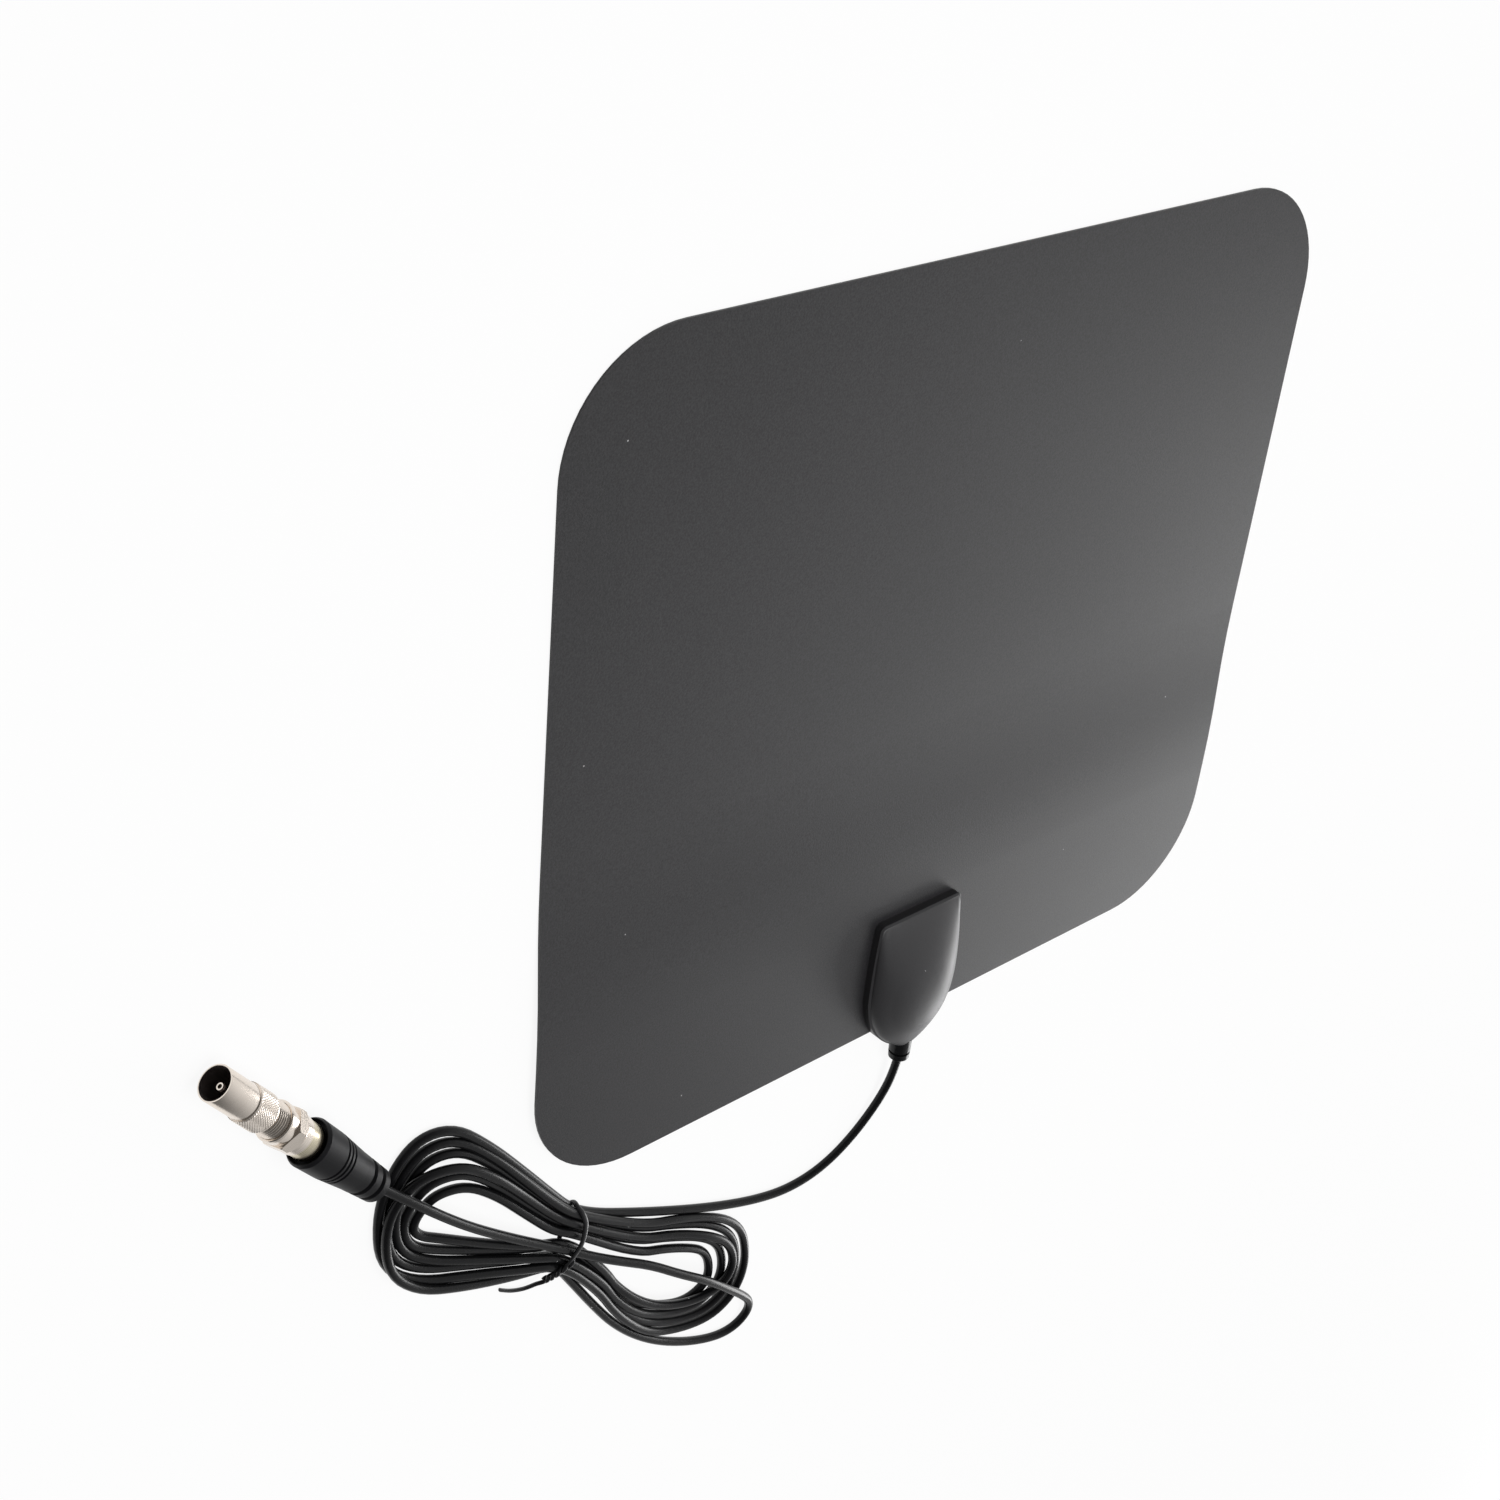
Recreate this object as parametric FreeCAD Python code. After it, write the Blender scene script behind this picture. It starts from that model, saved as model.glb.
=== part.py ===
import FreeCAD
import Part
import math
import os
from FreeCAD import Vector

# Flat indoor television antenna lying on a table: a thin laminated sheet, a two-part housing clamped on its
# lower edge, and a thin coaxial cord tied in a hank that ends in a screw-on plug with a push-on adapter.
# Millimetres. The origin is the middle of the sheet's back, +Z is the sheet's front, -Y its cord side.

# Sheet
panel_width = 280.0
panel_height = 250.0
panel_corner = 35.0
back_film_thick = 0.35
front_film_thick = 0.35
foil_thick = 0.1
bend_run = 60.0
bend_margin = 4.0

# Radiating foil: two mirrored loops with feed tabs
foil_gap = 12.0
foil_loop_width = 104.0
foil_loop_height = 150.0
foil_loop_centre = 22.0
foil_track = 26.0
foil_corner = 14.0
foil_tab_width = 9.0

# Housing outline, seen from the front; it sits a little to the right of the sheet's middle
housing_offset = 3.0
housing_length = 51.6
housing_overhang = 8.6
housing_width = 36.8
housing_flare = 1.2
housing_widest = 26.0
housing_nose_radius = 8.0
housing_corner = 2.2

# Housing front shell
shell_wall = 1.5
skirt_height = 3.0
skirt_bevel = 0.6
crown_height = 11.2
crown_distance = 30.0
nose_height = 5.0
nose_stop = 1.5
crown_fall_power = 2.4
crown_squareness = 2.7
top_squareness = 6.0
squareness_power = 2.0
crown_sections = 11
crown_arch_points = 13

# Housing back cover and the posts that hold the shell
cover_thick = 2.0
cover_edge = 0.6
post_radius = 1.6
post_fit = 0.05
boss_wall = 1.4
post_spacing = 21.0
post_distance = 22.0
post_height = 4.2

# Feed board, ferrite and rivets inside the housing
board_width = 15.0
board_length = 19.0
board_thick = 1.2
board_distance = 12.0
rivet_radius = 0.6
rivet_head_radius = 1.6
rivet_head_height = 0.4
rivet_spacing = 9.0
rivet_inset = 4.0
core_width = 7.0
core_depth = 3.6
core_length = 6.5
core_hole_radius = 0.9
core_inset = 5.0

# Coaxial cord and its strain relief
cord_diameter = 2.8
cord_arc_share = 0.45
dielectric_radius = 0.8
conductor_radius = 0.3
relief_radius = 3.6
relief_end_radius = 3.3
relief_edge = 0.6
relief_length = 6.0
relief_flange_radius = 4.0
relief_flange_length = 1.8
relief_groove_depth = 0.5
relief_groove_width = 0.8
relief_grooves = 1
tail_jacket_length = 2.0
tail_dielectric_length = 1.5

# Plug laid on the table, from the back of its boot to the mouth of the adapter
plug_back_x = -192.7
plug_back_y = -86.6
plug_heading_deg = 128.3
boot_length = 31.7
boot_front_radius = 6.6
boot_ring_radius = 6.35
boot_waist_radius = 5.35
boot_back_radius = 4.7
boot_edge = 1.0
boot_ring_distance = 9.4
boot_waist_distance = 19.7
boot_mouth_depth = 2.5
boot_mouth_radius = 5.9
fine_groove_pitch = 1.65
fine_groove_width = 0.9
fine_groove_depth = 0.45
fine_grooves = 3
broad_groove_pitch = 4.2
broad_groove_width = 1.7
broad_groove_depth = 0.85
broad_groove_distance = 23.5
broad_grooves = 2

# Screw plug: body, nut and centre wire
nut_gap = 4.4
nut_across_flats = 10.6
nut_sides = 6
nut_angle_deg = 50.0
nut_rear_radius = 5.2
nut_rear_length = 2.5
nut_hex_length = 3.8
nut_taper = 1.4
nut_neck_radius = 5.1
nut_ring_radius = 5.4
nut_ring_length = 3.5
nut_rim_length = 0.9
nut_lip = 2.0
nut_edge = 0.25
collar_radius = 4.9
collar_length = 4.8
sleeve_radius = 3.4
sleeve_length = 14.0
neck_radius = 3.6
flange_thick = 1.0
plug_play = 0.1
thread_radius = 4.72
thread_clearance = 0.06
plug_wire_radius = 0.4
plug_wire_reach = 12.9
plug_dielectric_radius = 1.6

# Push-on adapter: threaded neck, knurled grip, barrel, bush and pin
thread_shown = 4.8
knurl_radius = 5.2
knurl_length = 7.6
knurl_edge = 0.35
barrel_radius = 4.75
barrel_length = 11.3
barrel_wall = 0.4
barrel_lip = 0.15
adapter_rear_bore = 3.3
adapter_web = 9.0
bush_radius = 2.6
bush_overlap = 1.2
pin_radius = 1.18
pin_tail_radius = 0.95
pin_recess = 2.0
pin_tip_bore = 0.6
pin_tip_depth = 5.0
socket_radius = 0.47
socket_depth = 6.0

# Hank: two open lobes drawn in at the waist, as (x, y) outlines on the table
hank_height = 5.6
hank_edge = 1.2
hank_outline = (
    (-125.7, -131.9), (-133.9, -121.6), (-141.1, -110.7), (-148.2, -100.9), (-154.8, -92.8), (-160.9, -87.3),
    (-168.0, -83.3), (-175.5, -82.3), (-182.0, -85.2), (-186.3, -91.2), (-188.8, -100.6), (-189.6, -109.0),
    (-188.9, -117.4), (-186.2, -125.4), (-181.0, -132.0), (-172.5, -137.2), (-160.6, -142.5), (-147.0, -147.8),
    (-133.5, -153.6), (-126.8, -161.0), (-119.5, -173.0), (-110.5, -187.5), (-100.4, -199.0), (-90.0, -206.6),
    (-78.5, -212.6), (-69.0, -214.8), (-61.5, -212.2), (-56.6, -204.5), (-53.2, -195.0), (-53.2, -188.0),
    (-56.6, -181.6), (-62.0, -175.3), (-71.0, -168.6), (-83.0, -161.6), (-95.5, -154.8), (-107.0, -148.0),
    (-117.6, -140.2),
)
upper_hole = (
    (-179.2, -108.2), (-175.0, -106.6), (-169.5, -106.3), (-162.8, -108.0), (-157.4, -112.3), (-150.4, -120.4),
    (-143.6, -128.7), (-138.6, -135.4), (-144.2, -134.2), (-153.9, -129.6), (-163.9, -124.0), (-171.7, -118.3),
    (-176.8, -112.8),
)
lower_hole = (
    (-116.2, -157.9), (-106.9, -161.8), (-95.1, -167.9), (-83.6, -174.2), (-77.8, -178.4), (-74.6, -184.2),
    (-73.9, -190.0), (-78.7, -192.4), (-86.8, -190.6), (-93.4, -187.4), (-99.0, -182.4), (-105.0, -175.4),
    (-111.0, -166.8),
)

# Twist tie round the waist of the hank, with one free end
tie_centre = (-127.2, -145.0)
tie_heading_deg = 75.5
tie_span = 24.4
tie_thick = 0.9
tie_width = 2.4
tie_tail_radius = 0.9
tie_tail_points = (
    (-129.9, -155.4, 2.9), (-132.4, -157.4, 1.9), (-136.0, -159.0, 1.0), (-140.6, -158.3, 0.95),
    (-144.6, -156.6, 0.95), (-148.0, -154.6, 0.95),
)

# Cord routes, as laid on the table: from the strain relief to the hank, and from the hank to the plug
lead_points = (
    (2.6, -146.4, 3.9),
    (0.4, -154.4, 2.9),
    (-4.2, -162.2, 2.0),
    (-10.6, -168.8, 1.5),
    (-18.7, -173.7, 1.42),
    (-28.3, -176.3, 1.42),
    (-39.5, -176.2, 1.42),
    (-52.0, -173.0, 1.42),
    (-65.0, -168.0, 1.5),
    (-78.0, -162.2, 1.7),
    (-91.0, -155.9, 2.0),
    (-104.0, -149.2, 2.4),
    (-116.0, -142.6, 2.8),
)
plug_lead_points = (
    (-121.5, -168.2, 1.42),
    (-114.5, -179.9, 1.42),
    (-106.5, -192.3, 1.42),
    (-97.2, -203.4, 1.42),
    (-87.0, -212.6, 1.42),
    (-76.2, -219.8, 1.42),
    (-66.6, -224.6, 1.42),
    (-58.9, -226.9, 1.42),
    (-52.8, -226.3, 1.5),
    (-49.0, -222.2, 2.0),
    (-49.6, -216.4, 2.9),
    (-54.9, -209.6, 4.2),
    (-63.9, -199.9, 5.9),
    (-74.0, -189.7, 7.0),
    (-85.2, -180.6, 6.9),
    (-96.4, -171.0, 6.1),
    (-108.2, -162.9, 5.2),
    (-119.3, -154.8, 4.6),
    (-130.5, -145.5, 4.5),
    (-141.5, -136.9, 4.8),
    (-152.5, -127.5, 5.4),
    (-163.1, -117.8, 6.2),
    (-171.8, -108.9, 6.9),
    (-179.4, -100.7, 7.3),
    (-185.4, -94.4, 7.1),
)

panel_top = panel_height / 2.0
panel_bottom = -panel_height / 2.0
sheet_thick = back_film_thick + front_film_thick
lift = cover_thick
front_z = lift + sheet_thick
housing_end = panel_bottom - housing_overhang
housing_top = housing_end + housing_length
cap_top = housing_top - skirt_bevel
bend_end = housing_top + bend_margin
bend_start = bend_end + bend_run
bend_radius = (bend_run ** 2 + lift ** 2) / (4.0 * lift)
cord_radius = cord_diameter / 2.0
board_z = front_z + rivet_head_height
cord_z = board_z + board_thick + conductor_radius
board_top = housing_top - board_distance
post_y = housing_top - post_distance
rivet_y = board_top - rivet_inset
above_all = front_z + crown_height + cord_diameter
relief_end = housing_end - relief_length

boot_front = boot_length
nut_back = boot_front + nut_gap
nut_hex_back = nut_back + nut_rear_length
nut_hex_end = nut_hex_back + nut_hex_length
nut_front = nut_hex_end + nut_ring_length
flange_back = nut_back + nut_lip + plug_play
flange_front = flange_back + flange_thick
adapter_back = flange_front + plug_play
knurl_back = nut_front + thread_shown
barrel_back = knurl_back + knurl_length
barrel_front = barrel_back + barrel_length
web_back = barrel_back - adapter_web
bush_back = web_back - bush_overlap
bush_front = barrel_back + bush_overlap


def moved(shape, x, y, z):
    """Copy of a shape shifted by the given amounts."""
    copy = shape.copy()
    copy.translate(Vector(x, y, z))
    return copy


def prism(wire, low, high):
    """Solid of a flat wire drawn at z = 0, between two heights."""
    return moved(Part.Face(wire).extrude(Vector(0, 0, high - low)), 0, 0, low)


def cylinder(x, y, low, high, radius):
    """Upright cylinder between two heights."""
    return Part.makeCylinder(radius, high - low, Vector(x, y, low))


def box(x_low, x_high, y_low, y_high, z_low, z_high):
    """Box between two corners."""
    return Part.makeBox(x_high - x_low, y_high - y_low, z_high - z_low, Vector(x_low, y_low, z_low))


def rounded_rectangle(width, height, radius, x=0.0, y=0.0):
    """Closed wire of a rectangle with round corners, in the plane z = 0."""
    edges = []
    half_x = width / 2.0 - radius
    half_y = height / 2.0 - radius
    corners = ((half_x, half_y, 0), (-half_x, half_y, 90), (-half_x, -half_y, 180), (half_x, -half_y, 270))
    ends = []
    for corner_x, corner_y, start in corners:
        points = []
        for turn in (start, start + 45, start + 90):
            angle = math.radians(turn)
            points.append(Vector(x + corner_x + radius * math.cos(angle),
                                 y + corner_y + radius * math.sin(angle), 0))
        ends.append(points)
    for index, points in enumerate(ends):
        edges.append(Part.Arc(*points).toShape())
        following = ends[(index + 1) % len(ends)]
        edges.append(Part.LineSegment(points[-1], following[0]).toShape())
    return Part.Wire(edges)


def bend_edges(height):
    """Edges of the sheet's side view at a height above its back, from the top edge to the bottom edge."""
    sweep = math.asin(bend_run / (2.0 * bend_radius))

    def first(angle):
        radius = bend_radius - height
        return Vector(0, bend_start - radius * math.sin(angle), bend_radius - radius * math.cos(angle))

    def second(angle):
        radius = bend_radius + height
        return Vector(0, bend_end + radius * math.sin(angle), lift - bend_radius + radius * math.cos(angle))

    top = Vector(0, panel_top, height)
    bottom = Vector(0, panel_bottom, lift + height)
    return [
        Part.LineSegment(top, first(0.0)).toShape(),
        Part.Arc(first(0.0), first(sweep / 2.0), first(sweep)).toShape(),
        Part.Arc(second(sweep), second(sweep / 2.0), second(0.0)).toShape(),
        Part.LineSegment(second(0.0), bottom).toShape(),
    ]


def sheet_layer(low, high):
    """One layer of the sheet over its whole width, bent up where the cover lifts the lower edge."""
    lower = bend_edges(low)
    upper = bend_edges(high)
    first = Part.LineSegment(upper[0].Vertexes[0].Point, lower[0].Vertexes[0].Point).toShape()
    last = Part.LineSegment(lower[-1].Vertexes[-1].Point, upper[-1].Vertexes[-1].Point).toShape()
    side = Part.Face(Part.Wire(Part.__sortEdges__(lower + [last] + upper + [first])))
    return moved(side.extrude(Vector(panel_width, 0, 0)), -panel_width / 2.0, 0, 0)


def at_housing(shape):
    """Places a shape drawn about x = 0 on the housing's own centre line."""
    return moved(shape, housing_offset, 0, 0)


def pair(spacing):
    """The two x places a spacing apart on either side of the housing's centre line."""
    return (housing_offset - spacing / 2.0, housing_offset + spacing / 2.0)


def panel_outline():
    """Upright prism of the sheet's outline."""
    return prism(rounded_rectangle(panel_width, panel_height, panel_corner), -sheet_thick, above_all)


def foil_outline():
    """Upright prisms of the two foil loops, each with a tab down to its feed rivet."""
    loops = []
    for side in (-1, 1):
        centre_x = side * (foil_gap + foil_loop_width) / 2.0
        outer = rounded_rectangle(foil_loop_width, foil_loop_height, foil_corner, centre_x, foil_loop_centre)
        inner = rounded_rectangle(foil_loop_width - 2.0 * foil_track, foil_loop_height - 2.0 * foil_track,
                                  foil_corner / 2.0, centre_x, foil_loop_centre)
        loop = prism(outer, -sheet_thick, above_all).cut(prism(inner, -sheet_thick, above_all))
        tab_low = rivet_y - foil_tab_width / 2.0
        tab_high = foil_loop_centre - foil_loop_height / 2.0 + foil_track
        inside = housing_offset + side * (rivet_spacing / 2.0 - rivet_head_radius)
        outside = inside + side * foil_tab_width
        tab = box(min(inside, outside), max(inside, outside), tab_low, tab_high, -sheet_thick, above_all)
        loops.append(loop.fuse(tab).removeSplitter())
    return loops


def housing_half_width(y):
    """Half the width of the housing's outline at a height y of the sheet."""
    half = housing_width / 2.0
    wide_y = housing_top - housing_widest
    if y >= wide_y:
        radius = (housing_flare ** 2 + housing_widest ** 2) / (2.0 * housing_flare)
        return half - radius + math.sqrt(radius ** 2 - (y - wide_y) ** 2)
    reach = wide_y - housing_end
    nose = housing_nose_radius
    radius = (half ** 2 + reach ** 2 - 2.0 * reach * nose) / (2.0 * (half - nose))
    centre_y = housing_end + nose
    tangent = math.atan2(wide_y - centre_y, radius - half)
    if y >= wide_y - radius * math.sin(tangent):
        return half - radius + math.sqrt(radius ** 2 - (y - wide_y) ** 2)
    return math.sqrt(max(nose ** 2 - (y - centre_y) ** 2, 0.0))


def housing_outline(inset):
    """Closed wire of the housing's outline, drawn in by an inset: flat top, flared sides and a round nose."""
    half = housing_width / 2.0 - inset
    top = housing_top - inset
    wide_y = housing_top - housing_widest
    end = housing_end + inset
    nose = housing_nose_radius - inset
    side_radius = (housing_flare ** 2 + housing_widest ** 2) / (2.0 * housing_flare) - inset
    reach = wide_y - end
    nose_side_radius = (half ** 2 + reach ** 2 - 2.0 * reach * nose) / (2.0 * (half - nose))
    tangent = math.atan2(wide_y - end - nose, nose_side_radius - half)

    def upper(y):
        return half - side_radius + math.sqrt(side_radius ** 2 - (y - wide_y) ** 2)

    def lower(angle):
        return Vector(half - nose_side_radius + nose_side_radius * math.cos(angle),
                      wide_y - nose_side_radius * math.sin(angle), 0)

    def mirrored(point):
        return Vector(-point.x, point.y, point.z)

    top_right = Vector(upper(top), top, 0)
    side_middle = Vector(upper((top + wide_y) / 2.0), (top + wide_y) / 2.0, 0)
    widest = Vector(half, wide_y, 0)
    tip = Vector(0, end, 0)
    right = [
        Part.Arc(top_right, side_middle, widest).toShape(),
        Part.Arc(widest, lower(tangent / 2.0), lower(tangent)).toShape(),
    ]
    left = [
        Part.Arc(mirrored(lower(tangent)), mirrored(lower(tangent / 2.0)), mirrored(widest)).toShape(),
        Part.Arc(mirrored(widest), mirrored(side_middle), mirrored(top_right)).toShape(),
    ]
    nose_arc = Part.Arc(lower(tangent), tip, mirrored(lower(tangent))).toShape()
    closing = Part.LineSegment(mirrored(top_right), top_right).toShape()
    return Part.Wire(right + [nose_arc] + left + [closing])


def housing_prism(inset, low, high):
    """Upright prism of the housing's outline with its two upper corners rounded."""
    solid = prism(housing_outline(inset), low, high)
    corners = []
    for edge in solid.Edges:
        bounds = edge.BoundBox
        if bounds.ZLength > (high - low) / 2.0 and bounds.YMin > housing_top - inset - housing_corner:
            corners.append(edge)
    return solid.makeFillet(housing_corner - inset, corners)


def crown(y):
    """Height of the shell's ridge above the sheet: it swells from the top edge and falls to the nose."""
    distance = cap_top - y
    if distance <= crown_distance:
        share = math.sin(math.pi / 2.0 * max(distance, 0.0) / crown_distance)
        return skirt_height + (crown_height - skirt_height) * share
    share = (distance - crown_distance) / (housing_length - crown_distance)
    return nose_height + (crown_height - nose_height) * (1.0 - min(share, 1.0) ** crown_fall_power)


def squareness(y):
    """How square the shell's arch is at y: flat at the upper edge and round from the crown to the nose."""
    share = min((housing_top - y) / crown_distance, 1.0)
    return crown_squareness + (top_squareness - crown_squareness) * (1.0 - share) ** squareness_power


def crown_section(y, side_inset, top_inset):
    """Cross-section of the shell at y: flat below, upright sides half as high as the skirt, and a full arch."""
    half = housing_half_width(y) - side_inset
    base = front_z
    spring = front_z + skirt_height / 2.0
    rise = front_z + crown(y) - top_inset - spring
    arch = []
    for index in range(crown_arch_points):
        angle = math.pi * index / (crown_arch_points - 1)
        power = 2.0 / squareness(y)
        across = math.copysign(abs(math.cos(angle)) ** power, math.cos(angle))
        arch.append(Vector(half * across, y, spring + rise * math.sin(angle) ** power))
    arch[0] = Vector(half, y, spring)
    arch[-1] = Vector(-half, y, spring)
    curve = Part.BSplineCurve()
    curve.interpolate(arch)
    return Part.Wire([
        Part.LineSegment(Vector(-half, y, base), Vector(half, y, base)).toShape(),
        Part.LineSegment(Vector(half, y, base), arch[0]).toShape(),
        curve.toShape(),
        Part.LineSegment(arch[-1], Vector(-half, y, base)).toShape(),
    ])


def crown_body(side_inset, top_inset, start, end):
    """Lofted body of the shell between two places along the sheet."""
    sections = []
    for index in range(crown_sections):
        y = start + (end - start) * index / (crown_sections - 1)
        sections.append(crown_section(y, side_inset, top_inset))
    return Part.makeLoft(sections, True, False)


def relief_profile():
    """Half-section of the strain relief along -Y from inside the nose, as (distance, radius) pairs."""
    wall = shell_wall + nose_stop
    points = [(-wall - relief_flange_length, 0.0), (-wall - relief_flange_length, relief_flange_radius),
              (-wall, relief_flange_radius), (-wall, relief_radius)]
    pitch = relief_length / (relief_grooves + 1)
    for index in range(relief_grooves):
        middle = pitch * (index + 1)
        low = middle - relief_groove_width / 2.0
        high = middle + relief_groove_width / 2.0
        points.extend([(low, relief_taper(low)), (low, relief_taper(low) - relief_groove_depth),
                       (high, relief_taper(high) - relief_groove_depth), (high, relief_taper(high))])
    points.extend([(relief_length - relief_edge, relief_end_radius),
                   (relief_length, relief_end_radius - relief_edge), (relief_length, 0.0)])
    return points


def relief_taper(distance):
    """Radius of the strain relief at a distance outside the nose."""
    return relief_radius + (relief_end_radius - relief_radius) * distance / relief_length


def turned(points):
    """Solid turned about the X axis from (distance, radius) pairs."""
    corners = [Vector(distance, 0, radius) for distance, radius in points]
    corners.append(corners[0])
    face = Part.Face(Part.makePolygon(corners))
    return face.revolve(Vector(0, 0, 0), Vector(1, 0, 0), 360.0)


def on_plug(shape):
    """Places a shape turned about X on the plug's axis, where it lies on the table."""
    placed = shape.copy()
    placed.rotate(Vector(0, 0, 0), Vector(0, 0, 1), plug_heading_deg)
    placed.translate(Vector(plug_back_x, plug_back_y, boot_front_radius))
    return placed


def make_front_film():
    """Front film of the sheet, pierced for the posts and the feed rivets."""
    film = sheet_layer(back_film_thick, sheet_thick).common(panel_outline())
    for x in pair(post_spacing):
        film = film.cut(cylinder(x, post_y, 0, above_all, post_radius + post_fit))
    for x in pair(rivet_spacing):
        film = film.cut(cylinder(x, rivet_y, 0, above_all, rivet_radius))
    return film


def make_antenna_foil():
    """Pair of foil loops under the front film, pierced by the feed rivets."""
    layer = sheet_layer(back_film_thick - foil_thick, back_film_thick)
    solids = []
    places = zip(pair(rivet_spacing), pair(post_spacing), foil_outline())
    for rivet_x, post_x, outline in places:
        foil = layer.common(outline)
        foil = foil.cut(cylinder(rivet_x, rivet_y, 0, above_all, rivet_radius))
        foil = foil.cut(cylinder(post_x, post_y, 0, above_all, post_radius + boss_wall))
        solids.extend(foil.Solids)
    return Part.makeCompound(solids)


def make_back_film():
    """Back film of the sheet, with a shallow pocket for the foil."""
    film = sheet_layer(0.0, back_film_thick).common(panel_outline())
    pocket = sheet_layer(back_film_thick - foil_thick, back_film_thick)
    for x, outline in zip(pair(post_spacing), foil_outline()):
        ring = cylinder(x, post_y, 0, above_all, post_radius + boss_wall)
        film = film.cut(pocket.common(outline).cut(ring))
        film = film.cut(cylinder(x, post_y, 0, above_all, post_radius + post_fit))
    return film


def make_housing_front():
    """Front shell: a swelling cap on a low bevelled skirt, hollow, with two bosses for the posts."""
    skirt = housing_prism(0.0, front_z, front_z + skirt_height)
    rim = [edge for edge in skirt.Edges if edge.BoundBox.ZMin > front_z + skirt_height - skirt_bevel]
    skirt = skirt.makeChamfer(skirt_bevel, rim)
    stop = housing_end + nose_stop
    cap = crown_body(skirt_bevel, 0.0, cap_top, stop)
    cavity = crown_body(skirt_bevel + shell_wall, shell_wall, cap_top - shell_wall,
                        stop + shell_wall + relief_flange_length)
    inside = crown_body(skirt_bevel + shell_wall / 2.0, shell_wall / 2.0, cap_top - shell_wall / 2.0,
                        stop + shell_wall / 2.0)
    shell = at_housing(skirt.fuse(cap).cut(cavity))
    for x in pair(post_spacing):
        boss = cylinder(x, post_y, front_z, above_all, post_radius + boss_wall)
        shell = shell.fuse(boss.common(at_housing(inside)))
        shell = shell.cut(cylinder(x, post_y, front_z, front_z + post_height, post_radius + post_fit))
    shell = shell.cut(strain_relief_space())
    return shell.removeSplitter()


def strain_relief_space():
    """Room that the strain relief and the cord's end take in the nose of the housing."""
    return make_strain_relief().fuse(cylinder_along_y(housing_end, housing_end + shell_wall, relief_radius))


def cylinder_along_y(low, high, radius):
    """Cylinder on the cord's axis between two places along the sheet."""
    return Part.makeCylinder(radius, high - low, Vector(housing_offset, low, cord_z), Vector(0, 1, 0))


def make_housing_back():
    """Back cover: a flat plate with a raised lip at the nose and two posts that pass through the sheet."""
    cover = housing_prism(0.0, 0.0, cover_thick)
    rim = [edge for edge in cover.Edges if edge.BoundBox.ZMax < cover_edge]
    cover = cover.makeChamfer(cover_edge, rim)
    lip = housing_prism(0.0, cover_thick, front_z)
    lip = lip.cut(box(-panel_width, panel_width, panel_bottom, panel_top, 0, above_all))
    cover = at_housing(cover.fuse(lip))
    for x in pair(post_spacing):
        cover = cover.fuse(cylinder(x, post_y, 0.0, front_z + post_height, post_radius))
    return cover.cut(strain_relief_space()).removeSplitter()


def make_strain_relief():
    """Moulded strain relief: a flange behind the nose and a grooved, tapering neck outside it."""
    relief = turned(relief_profile())
    relief.rotate(Vector(0, 0, 0), Vector(0, 0, 1), -90.0)
    relief.translate(Vector(housing_offset, housing_end, cord_z))
    return relief


def make_feed_board():
    """Small circuit board on the heads of the feed rivets."""
    low, high = pair(board_width)
    return box(low, high, board_top - board_length, board_top, board_z, board_z + board_thick)


def make_feed_rivets():
    """Two rivets from the board through the front film into the foil."""
    solids = []
    for x in pair(rivet_spacing):
        shank = cylinder(x, rivet_y, lift + back_film_thick - foil_thick, board_z, rivet_radius)
        head = cylinder(x, rivet_y, front_z, board_z, rivet_head_radius)
        solids.append(shank.fuse(head).removeSplitter())
    return Part.makeCompound(solids)


def make_balun_core():
    """Ferrite block with two holes for the transformer's turns, on the board."""
    low = board_z + board_thick
    middle = board_top - core_inset - core_length / 2.0
    left, right = pair(core_width)
    core = box(left, right, middle - core_length / 2.0, middle + core_length / 2.0, low, low + core_depth)
    upright = [edge for edge in core.Edges if edge.BoundBox.YLength > core_length / 2.0]
    core = core.makeFillet(core_depth / 4.0, upright)
    for x in pair(core_width / 2.0):
        start = Vector(x, middle - core_length / 2.0, low + core_depth / 2.0)
        core = core.cut(Part.makeCylinder(core_hole_radius, core_length, start, Vector(0, 1, 0)))
    return core


def make_cable_tail():
    """Stripped end of the cord inside the housing: jacket, dielectric and the wire soldered to the board."""
    inner = housing_end + nose_stop + shell_wall + relief_flange_length
    jacket_end = inner + tail_jacket_length
    dielectric_end = jacket_end + tail_dielectric_length
    wire_end = board_top - board_length + tail_dielectric_length
    tail = cylinder_along_y(inner, jacket_end, cord_radius)
    tail = tail.fuse(cylinder_along_y(jacket_end, dielectric_end, dielectric_radius))
    return tail.fuse(cylinder_along_y(dielectric_end, wire_end, conductor_radius)).removeSplitter()


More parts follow.
